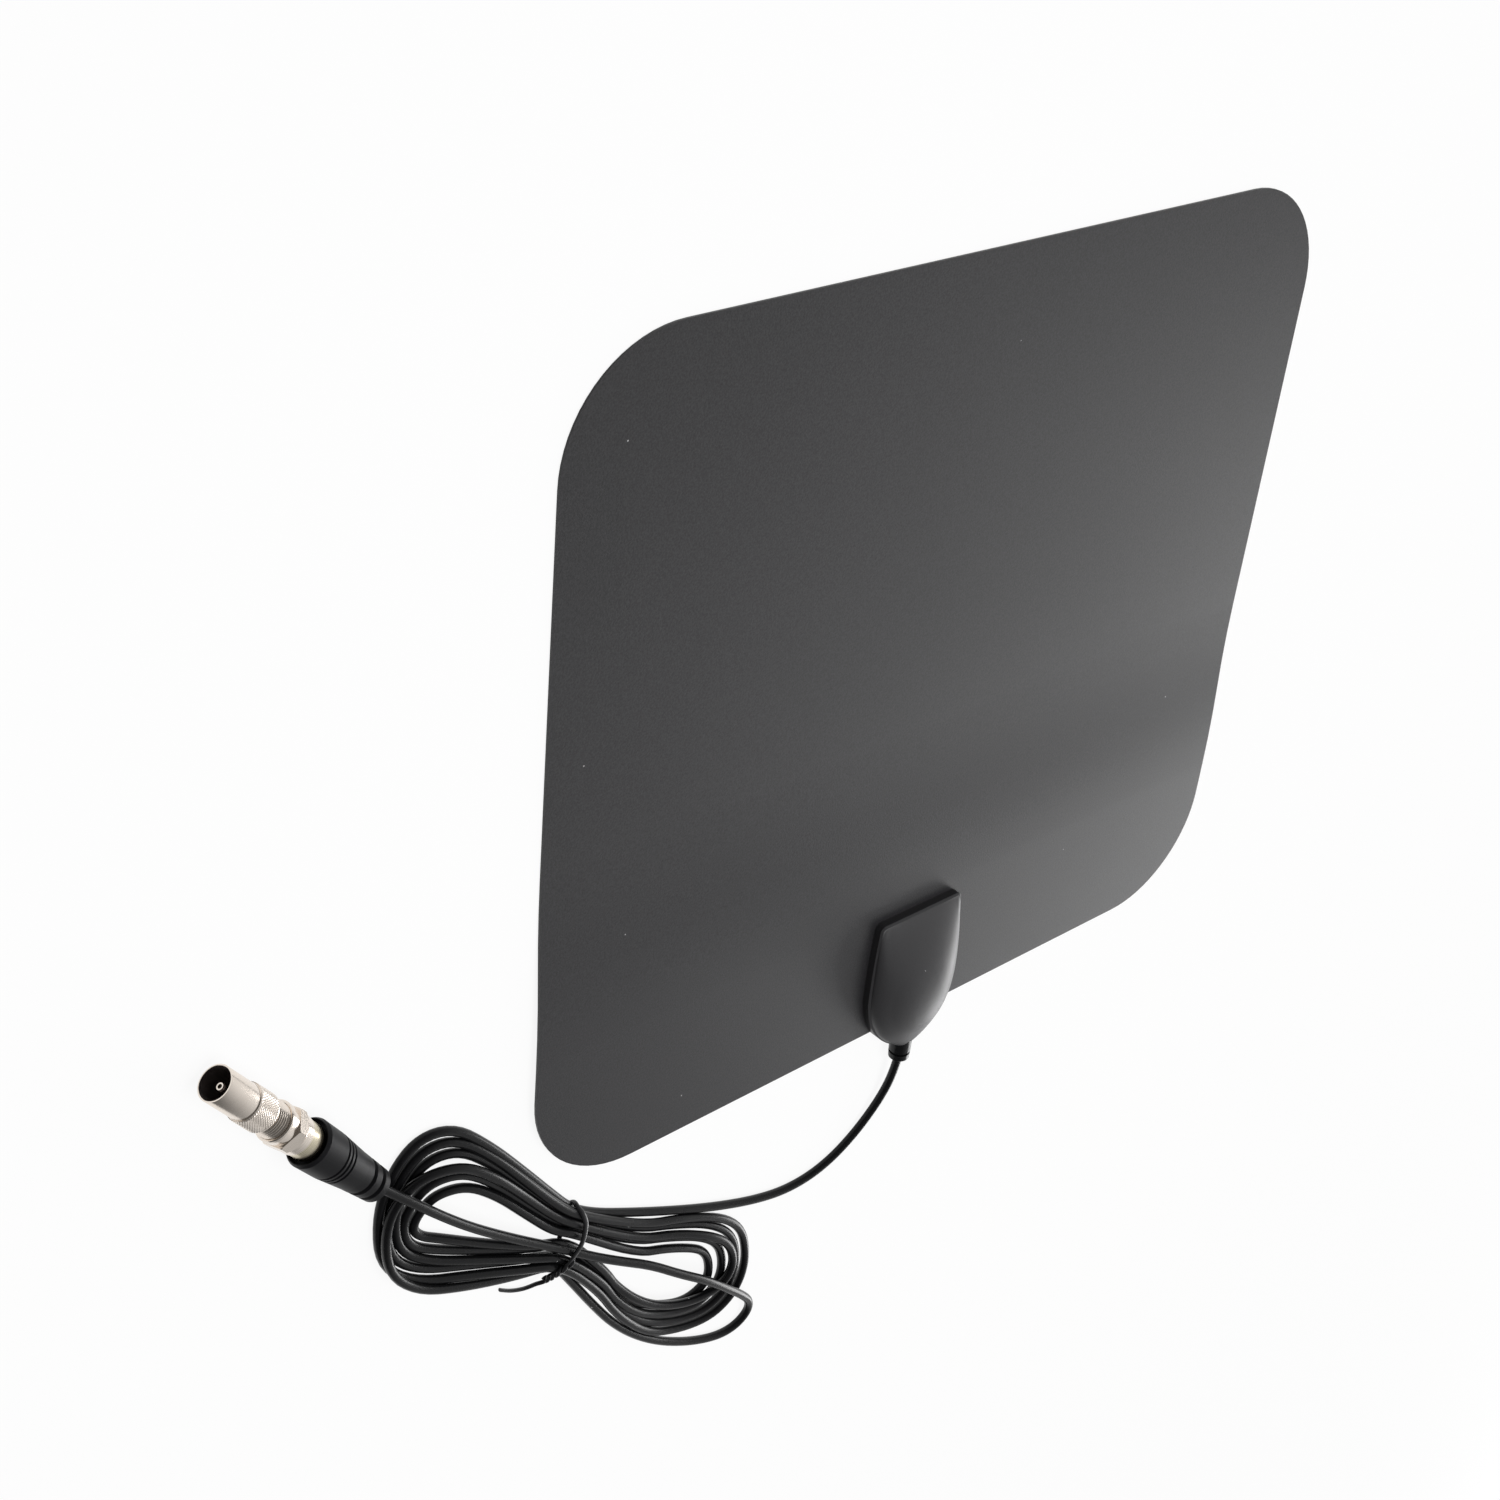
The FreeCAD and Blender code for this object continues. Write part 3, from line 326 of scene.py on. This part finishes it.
def eased(value):
    return value * value * (3.0 - 2.0 * value)


def lobe(outer, inner, shares, hump, height_in, height_out):
    last = len(outer) - 1
    parts = len(shares) - 1
    points = []
    for step in range(last + 1):
        place = step / last
        part = min(parts - 1, int(place * parts))
        share = shares[part] + (shares[part + 1] - shares[part]) * eased(place * parts - part)
        spot = Vector(outer[step]).lerp(Vector(inner[step]), share)
        kept_in = max(0.0, tie_height_kept - tie_height_lost * step)
        kept_out = max(0.0, tie_height_kept - tie_height_lost * (last - step))
        height = cord_floor + (height_in - cord_floor) * kept_in + (height_out - cord_floor) * kept_out
        rise = eased(min(1.0, max(0.0, hump_steepness * (0.5 - abs(place - 0.5)))))
        points.append((spot.x, spot.y, max(height, cord_floor + hump * rise)))
    return points


def in_tie(place, height):
    spot = tie_centre + tie_along * place
    return (spot.x, spot.y, height)


cord_route = list(lead_run)
for turn in range(len(left_turns)):
    height_back = tie_back[turn][1]
    cord_route.append(in_tie(*tie_out[turn]))
    cord_route += lobe(left_outer, left_inner, *left_turns[turn], tie_out[turn][1], height_back)
    cord_route.append(in_tie(*tie_back[turn]))
    if turn < len(right_turns):
        height_next = tie_out[turn + 1][1]
        cord_route += lobe(right_outer, right_inner, *right_turns[turn], height_back, height_next)
cord_route += plug_run

cord_curve = bpy.data.curves.new("coaxial_cord", "CURVE")
cord_curve.dimensions = "3D"
cord_curve.bevel_depth = cord_diameter / 2.0
cord_curve.bevel_resolution = 5
cord_curve.resolution_u = 5
cord_curve.use_fill_caps = True
cord_spline = cord_curve.splines.new("NURBS")
cord_spline.points.add(len(cord_route) - 1)
for point, (x, y, z) in zip(cord_spline.points, cord_route):
    point.co = (x / 1000.0, y / 1000.0, z / 1000.0, 1.0)
cord_spline.order_u = 3
cord_spline.use_endpoint_u = True
cord = linked("coaxial_cord", cord_curve)
cord_curve.materials.append(jacket)
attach(cord, "antenna")
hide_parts("cable_lead", "cord_hank", "plug_lead")


# The hank is held by a strip of wire in black vinyl, bent once round all the strands.
# Its two ends are twisted together on top and run down beside the strands, one of them longer as a tail.
# Sizes are in millimetres.
tie_half_width = 0.85
tie_half_thick = 0.5
tie_sides = 14
tie_squareness = 0.8
# Place along the tie, height and lean to the side of points round the ring
tie_ring = [
    (-11.6, 3.4, 0.0), (-11.9, 2.0, 0.0), (-10.6, 0.75, 0.0), (-7.0, 0.55, 0.0), (-2.0, 0.5, 0.0),
    (3.0, 0.5, 0.0), (8.0, 0.55, 0.0), (10.9, 0.75, 0.0), (11.9, 2.0, 0.0), (11.4, 3.7, -0.1),
    (10.0, 5.5, -1.0), (7.0, 6.3, -2.5), (3.0, 6.5, -3.2), (-0.5, 6.9, -2.6), (-3.2, 7.0, -1.2),
    (-6.0, 6.6, -0.3), (-9.0, 5.7, 0.0), (-11.0, 4.6, 0.0),
]
tie_tail = [
    (-127.0, -151.1, 6.6), (-130.2, -152.6, 6.1), (-132.4, -155.0, 4.7), (-133.9, -156.6, 3.4),
    (-136.2, -157.9, 2.2), (-140.1, -158.4, 1.2), (-144.5, -156.8, 0.95), (-148.4, -154.2, 0.95),
]
ring_steps = 5
tail_steps = 8
tail_narrowing = 0.8
# The twist ends at this point of the tail's path, and the strands close up over the next few points
twist_end = 26
twist_fade = 8
twist_turns = 2.5
twist_apart = 0.62


def smooth_run(points, pieces):
    curve = []
    for index in range(len(points) - 1):
        before = Vector(points[max(index - 1, 0)])
        first = Vector(points[index])
        second = Vector(points[index + 1])
        after = Vector(points[min(index + 2, len(points) - 1)])
        for step in range(pieces):
            t = step / pieces
            curve.append(0.5 * (2.0 * first + (second - before) * t
                                + (2.0 * before - 5.0 * first + 4.0 * second - after) * t * t
                                + (3.0 * first - before - 3.0 * second + after) * t ** 3))
    curve.append(Vector(points[-1]))
    return curve


def as_piece(name, mesh):
    data = bpy.data.meshes.new(name)
    mesh.to_mesh(data)
    mesh.free()
    return linked(name, data)


def heading_at(path, index):
    return (path[min(index + 1, len(path) - 1)] - path[max(index - 1, 0)]).normalized()


def strip_mesh(mesh, path, wide, half_width, half_thick):
    rings = []
    for index, spot in enumerate(path):
        heading = heading_at(path, index)
        flat = (wide[index] - heading * wide[index].dot(heading)).normalized()
        thick = heading.cross(flat)
        ring = []
        for side in range(tie_sides):
            angle = 2.0 * math.pi * side / tie_sides
            across = half_width * math.copysign(abs(math.cos(angle)) ** tie_squareness, math.cos(angle))
            corner = spot + flat * across + thick * half_thick * math.sin(angle)
            ring.append(mesh.verts.new(corner / 1000.0))
        rings.append(ring)
    for first, second in zip(rings, rings[1:]):
        for side in range(tie_sides):
            after = (side + 1) % tie_sides
            mesh.faces.new((first[side], first[after], second[after], second[side]))
    mesh.faces.new(rings[0])
    mesh.faces.new(rings[-1])


tie_across = Vector((-tie_along.y, tie_along.x, 0.0))
tie_mesh = bmesh.new()
ring_points = [Vector(in_tie(place, height)) + tie_across * lean for place, height, lean in tie_ring]
ring_path = smooth_run(ring_points, ring_steps)
strip_mesh(tie_mesh, ring_path, [tie_across] * len(ring_path), tie_half_width, tie_half_thick)
tail_path = smooth_run(tie_tail, tail_steps)
for start, points in ((0.0, len(tail_path)), (math.pi, twist_end + 1)):
    strand = []
    wide = []
    for index in range(points):
        heading = heading_at(tail_path, index)
        level = heading.cross(Vector((0.0, 0.0, 1.0))).normalized()
        rise = level.cross(heading)
        angle = start + 2.0 * math.pi * twist_turns * min(index, twist_end) / twist_end
        apart = twist_apart * eased(min(1.0, max(0.0, (twist_end + twist_fade - index) / twist_fade)))
        turned = level * math.cos(angle) + rise * math.sin(angle)
        strand.append(tail_path[index] + turned * apart)
        wide.append(heading.cross(turned))
    strip_mesh(tie_mesh, strand, wide, tie_half_width * tail_narrowing, tie_half_thick)
bmesh.ops.recalc_face_normals(tie_mesh, faces=tie_mesh.faces)
tie = as_piece("wire_tie", tie_mesh)
smooth_faces(tie, 50.0)
tie_vinyl = grained_plastic(
    "tie vinyl", dark=(0.004, 0.004, 0.005), light=(0.012, 0.012, 0.013), smooth=0.18, rough=0.32,
    fine=1400.0, broad=200.0, depth=0.00002)[0]
tie.data.materials.append(tie_vinyl)
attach(tie, "antenna")
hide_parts("twist_tie")


# The plug's boot is black rubber, moulded over the end of the cord, with grooves for the fingers.
# Rubber of this kind is dull, and a little paler where hands have rubbed it.
boot_rubber = grained_plastic(
    "boot rubber", dark=(0.004, 0.004, 0.005), light=(0.011, 0.011, 0.012), smooth=0.4, rough=0.5,
    fine=2600.0, broad=120.0, depth=0.00004, shine=0.13)[0]
dress(boot_rubber, "plug_boot")


# The plug's collar is thinly plated brass, and the hexagon nut and the pin are turned and nickel plated.
# Turning leaves fine rings round the plug's axis under the plating. The insulators are plain moulded plastic.
plug_back = Vector((-0.1927, -0.0866, 0.0066))
plug_turn = math.radians(128.3)
turning_rings = bpy.data.node_groups.new("turning rings", "ShaderNodeTree")
for socket in ("Rings", "Tarnish"):
    turning_rings.interface.new_socket(socket, in_out="OUTPUT", socket_type="NodeSocketFloat")
rings_out = turning_rings.nodes.new("NodeGroupOutput")
rings_place = turning_rings.nodes.new("ShaderNodeTexCoord")
rings_axis = turning_rings.nodes.new("ShaderNodeMapping")
rings_axis.vector_type = "TEXTURE"
rings_axis.inputs["Location"].default_value = plug_back
rings_axis.inputs["Rotation"].default_value = (0.0, 0.0, plug_turn)
rings_axis.inputs["Scale"].default_value = (0.00022, 0.012, 0.012)
rings_noise = turning_rings.nodes.new("ShaderNodeTexNoise")
rings_noise.inputs["Scale"].default_value = 1.0
rings_noise.inputs["Detail"].default_value = 3.0
rings_stain = turning_rings.nodes.new("ShaderNodeTexNoise")
rings_stain.inputs["Scale"].default_value = 260.0
turning_rings.links.new(rings_place.outputs["Object"], rings_axis.inputs["Vector"])
turning_rings.links.new(rings_axis.outputs["Vector"], rings_noise.inputs["Vector"])
turning_rings.links.new(rings_place.outputs["Object"], rings_stain.inputs["Vector"])
turning_rings.links.new(rings_noise.outputs["Fac"], rings_out.inputs["Rings"])
turning_rings.links.new(rings_stain.outputs["Fac"], rings_out.inputs["Tarnish"])


def turned_metal(name, clean, stained, smooth, rough):
    material, nodes, links, shader = start_finish(name)
    shader.inputs["Metallic"].default_value = 1.0
    rings = nodes.new("ShaderNodeGroup")
    rings.node_tree = turning_rings
    mixed(nodes, links, rings.outputs["Tarnish"], clean, stained, shader.inputs["Base Color"])
    ranged(nodes, links, rings.outputs["Rings"], smooth, rough, shader.inputs["Roughness"])
    bump = nodes.new("ShaderNodeBump")
    bump.inputs["Strength"].default_value = 0.015
    bump.inputs["Distance"].default_value = 0.00002
    links.new(rings.outputs["Rings"], bump.inputs["Height"])
    links.new(bump.outputs["Normal"], shader.inputs["Normal"])
    return material


collar_plate = turned_metal(
    "plated collar", clean=(0.74, 0.68, 0.53), stained=(0.66, 0.58, 0.42), smooth=0.22, rough=0.36)
dress(collar_plate, "plug_body")
nickel = turned_metal(
    "nickel plate", clean=(0.88, 0.80, 0.72), stained=(0.80, 0.72, 0.64), smooth=0.18, rough=0.28)
dress(nickel, "coupling_nut", "adapter_pin")

foam_white = grained_plastic(
    "white dielectric", dark=(0.80, 0.80, 0.77), light=(0.87, 0.87, 0.85), smooth=0.4, rough=0.5,
    fine=1800.0, broad=300.0, depth=0.00002)[0]
dress(foam_white, "plug_dielectric")
bush_plastic = grained_plastic(
    "dark bush", dark=(0.018, 0.017, 0.017), light=(0.030, 0.029, 0.028), smooth=0.45, rough=0.6,
    fine=1800.0, broad=300.0, depth=0.00002)[0]
dress(bush_plastic, "adapter_bush")


# The adapter is one turned and plated piece: a threaded neck that the nut grips, a knurled grip and a thin
# barrel. The thread is cut at 32 turns to the inch, and the knurl is rolled in crossing grooves.
# Its sizes are in millimetres, measured along the plug's axis from the back of the boot and out from it.
thread_pitch = 0.79375
thread_crest = 4.72
thread_root = 4.28
thread_turns = 13
thread_start = 0.02
neck_back = 39.3
neck_radius = thread_root - 0.06
neck_bore = 3.3
web_back = 49.3
web_bore = 2.6
knurl_back = 50.7
knurl_front = 58.3
knurl_crest = 5.2
knurl_root = 5.07
knurl_bevel = 0.3
knurl_face = knurl_root - 0.22
shoulder_back = knurl_back - 0.1
barrel_front = 69.6
barrel_radius = 4.75
barrel_bore = 4.35
adapter_outline = [
    (neck_back, neck_bore), (neck_back, neck_radius), (shoulder_back, neck_radius), (shoulder_back, 4.5),
    (knurl_back, 4.6), (knurl_back, knurl_face), (knurl_back + knurl_bevel, knurl_root),
    (knurl_front - knurl_bevel, knurl_root), (knurl_front, knurl_face), (knurl_front, barrel_radius),
    (barrel_front - 0.15, barrel_radius), (barrel_front - 0.04, 4.71), (barrel_front, 4.6),
    (barrel_front, 4.41), (barrel_front - 0.06, barrel_bore), (knurl_front, barrel_bore),
    (knurl_front, web_bore), (web_back, web_bore), (web_back, neck_bore), (neck_back, neck_bore),
]
thread_tooth = [
    (0.0, thread_root), (0.1, thread_root), (0.38, thread_crest), (0.48, thread_crest),
    (thread_pitch, thread_root),
]


def profile_on_axis(name, profile):
    data = bpy.data.meshes.new(name)
    data.from_pydata([(along / 1000.0, radius / 1000.0, 0.0) for along, radius in profile],
                     [(index, index + 1) for index in range(len(profile) - 1)], [])
    piece = linked(name, data)
    bpy.context.view_layer.objects.active = piece
    piece.select_set(True)
    return piece


def close_seams(piece):
    bpy.ops.object.mode_set(mode="EDIT")
    bpy.ops.mesh.select_all(action="SELECT")
    bpy.ops.mesh.remove_doubles(threshold=0.000005)
    bpy.ops.mesh.normals_make_consistent(inside=False)
    bpy.ops.object.mode_set(mode="OBJECT")
    piece.select_set(False)


adapter = profile_on_axis("push_on_adapter", adapter_outline)
bpy.ops.object.mode_set(mode="EDIT")
bpy.ops.mesh.select_all(action="SELECT")
bpy.ops.mesh.spin(steps=96, angle=2.0 * math.pi, center=(0.0, 0.0, 0.0), axis=(1.0, 0.0, 0.0))
bpy.ops.object.mode_set(mode="OBJECT")
close_seams(adapter)

thread = profile_on_axis(
    "adapter_thread", [(neck_back + thread_start + along, radius) for along, radius in thread_tooth])
screw = thread.modifiers.new("thread", "SCREW")
screw.axis = "X"
screw.angle = 2.0 * math.pi
screw.screw_offset = thread_pitch / 1000.0
screw.iterations = thread_turns
screw.steps = 64
screw.render_steps = 64
bpy.ops.object.modifier_apply(modifier="thread")
close_seams(thread)

knurl_round = 96
knurl_rows = 15
knurl_inset = 0.12
knurl_edge = 0.05
knurl_mesh = bmesh.new()
knurl_grid = []
for row in range(knurl_rows + 1):
    ring = []
    along = knurl_back + knurl_inset + (knurl_front - knurl_back - 2.0 * knurl_inset) * row / knurl_rows
    for side in range(knurl_round):
        angle = 2.0 * math.pi * side / knurl_round
        if row in (0, knurl_rows):
            radius = knurl_root - knurl_edge
        elif (row + side) % 2 == 0:
            radius = knurl_crest
        else:
            radius = knurl_root
        ring.append(knurl_mesh.verts.new((along / 1000.0, radius * math.cos(angle) / 1000.0,
                                          radius * math.sin(angle) / 1000.0)))
    knurl_grid.append(ring)
for row, (low, high) in enumerate(zip(knurl_grid, knurl_grid[1:])):
    for side in range(knurl_round):
        after = (side + 1) % knurl_round
        if (row + side) % 2 == 0:
            knurl_mesh.faces.new((low[side], low[after], high[side]))
            knurl_mesh.faces.new((low[after], high[after], high[side]))
        else:
            knurl_mesh.faces.new((low[side], low[after], high[after]))
            knurl_mesh.faces.new((low[side], high[after], high[side]))
bmesh.ops.recalc_face_normals(knurl_mesh, faces=knurl_mesh.faces)
knurl = as_piece("adapter_knurl", knurl_mesh)

for piece in (thread, knurl, adapter):
    piece.select_set(True)
bpy.context.view_layer.objects.active = adapter
bpy.ops.object.join()
adapter.matrix_world = Matrix.Translation(plug_back) @ Matrix.Rotation(plug_turn, 4, "Z")
bpy.ops.object.transform_apply(location=True, rotation=True, scale=True)
smooth_faces(adapter, 28.0)
adapter.data.materials.append(nickel)
# The bore inside the barrel gets a darker metal than the outside: painted shade for the deep recess, mottled
# by the same random stain noise.
shaded_bore_metal = turned_metal(
    "bore metal with painted shade", clean=(0.34, 0.30, 0.29), stained=(0.22, 0.19, 0.185), smooth=0.5, rough=0.65)
adapter.data.materials.append(shaded_bore_metal)
plug_ahead = Vector((math.cos(plug_turn), math.sin(plug_turn), 0.0))
bore_back = (knurl_front - 0.1) / 1000.0
bore_radius = (barrel_bore + 0.02) / 1000.0
for face in adapter.data.polygons:
    reach = (face.center - plug_back).dot(plug_ahead)
    radius = (face.center - plug_back - plug_ahead * reach).length
    if radius < bore_radius and reach > bore_back:
        face.material_index = 1
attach(adapter, "adapter")
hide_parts("adapter_body")


# The stage is a white sweep under a sky that grows brighter to the right, with a broad lamp overhead and a
# soft one low on the right, as in a catalogue picture. The camera stands to the upper left of the sheet,
# turned a little on its axis.
bpy.ops.mesh.primitive_plane_add(size=9.0, location=(0.0, 0.0, -0.0003))
sweep = bpy.context.object
sweep.name = "white_sweep"
sweep.select_set(False)
paper, paper_nodes, paper_links, paper_shader = start_finish("sweep paper")
paper_shader.inputs["Base Color"].default_value = (0.82, 0.82, 0.82, 1.0)
paper_shader.inputs["Roughness"].default_value = 0.9
paper_shader.inputs["Specular IOR Level"].default_value = 0.0
paper_glow = paper_nodes.new("ShaderNodeEmission")
paper_ray = paper_nodes.new("ShaderNodeLightPath")
paper_seen = paper_nodes.new("ShaderNodeMath")
paper_seen.operation = "MULTIPLY"
paper_seen.inputs[1].default_value = 0.9
paper_shine = paper_nodes.new("ShaderNodeMath")
paper_shine.operation = "MULTIPLY_ADD"
paper_shine.inputs[1].default_value = 0.8
paper_blend = paper_nodes.new("ShaderNodeMixShader")
paper_links.new(paper_ray.outputs["Is Camera Ray"], paper_seen.inputs[0])
paper_links.new(paper_ray.outputs["Is Glossy Ray"], paper_shine.inputs[0])
paper_links.new(paper_seen.outputs["Value"], paper_shine.inputs[2])
paper_links.new(paper_shine.outputs["Value"], paper_blend.inputs["Fac"])
paper_links.new(paper_shader.outputs["BSDF"], paper_blend.inputs[1])
paper_links.new(paper_glow.outputs["Emission"], paper_blend.inputs[2])
paper_links.new(paper_blend.outputs["Shader"], paper_nodes["Material Output"].inputs["Surface"])
sweep.data.materials.append(paper)

sky_bright_side = (0.94, -0.34, 0.0)
sky_low = 0.12
sky_high = 0.95
world = bpy.data.worlds.new("studio")
bpy.context.scene.world = world
world.use_nodes = True
world_nodes = world.node_tree.nodes
world_links = world.node_tree.links
world_shade = world_nodes["Background"]
world_shade.inputs["Color"].default_value = (1.0, 1.0, 1.0, 1.0)
world_place = world_nodes.new("ShaderNodeTexCoord")
world_side = world_nodes.new("ShaderNodeVectorMath")
world_side.operation = "DOT_PRODUCT"
world_side.inputs[1].default_value = sky_bright_side
world_ray = world_nodes.new("ShaderNodeLightPath")
world_seen = world_nodes.new("ShaderNodeMath")
world_seen.operation = "MAXIMUM"
world_links.new(world_place.outputs["Generated"], world_side.inputs[0])
ranged(world_nodes, world_links, world_side.outputs["Value"], sky_low, sky_high, world_seen.inputs[0],
       from_low=0.0, from_high=1.0)
world_links.new(world_ray.outputs["Is Camera Ray"], world_seen.inputs[1])
world_links.new(world_seen.outputs["Value"], world_shade.inputs["Strength"])


def soft_lamp(name, place, aim, width, height, power):
    light = bpy.data.lights.new(name, "AREA")
    light.shape = "RECTANGLE"
    light.size = width
    light.size_y = height
    light.energy = power
    lamp = linked(name, light)
    lamp.location = place
    lamp.rotation_euler = (Vector(aim) - Vector(place)).to_track_quat("-Z", "Y").to_euler()
    lamp.visible_camera = False
    return lamp


overhead = soft_lamp(
    "overhead_lamp", place=(-0.1, 0.1, 1.3), aim=(0.0, -0.05, 0.0), width=0.9, height=0.9, power=14.0)
overhead.visible_glossy = False
soft_lamp(
    "low_right_lamp", place=(1.15, -0.80, 0.22), aim=(0.05, -0.10, 0.01), width=0.9, height=0.44, power=7.0)

eye = bpy.data.cameras.new("eye")
eye.lens = 53.27
eye.sensor_width = 36.0
eye.sensor_fit = "HORIZONTAL"
eye.clip_start = 0.02
eye.clip_end = 20.0
camera = linked("eye", eye)
camera.matrix_world = Matrix((
    (0.750074, 0.289223, -0.594760, -0.42263),
    (0.085807, 0.849146, 0.521142, 0.30551),
    (0.655764, -0.441929, 0.612105, 0.36159),
    (0.0, 0.0, 0.0, 1.0),
))
bpy.context.scene.camera = camera
bpy.context.scene.view_settings.view_transform = "Standard"

bpy.context.view_layer.update()
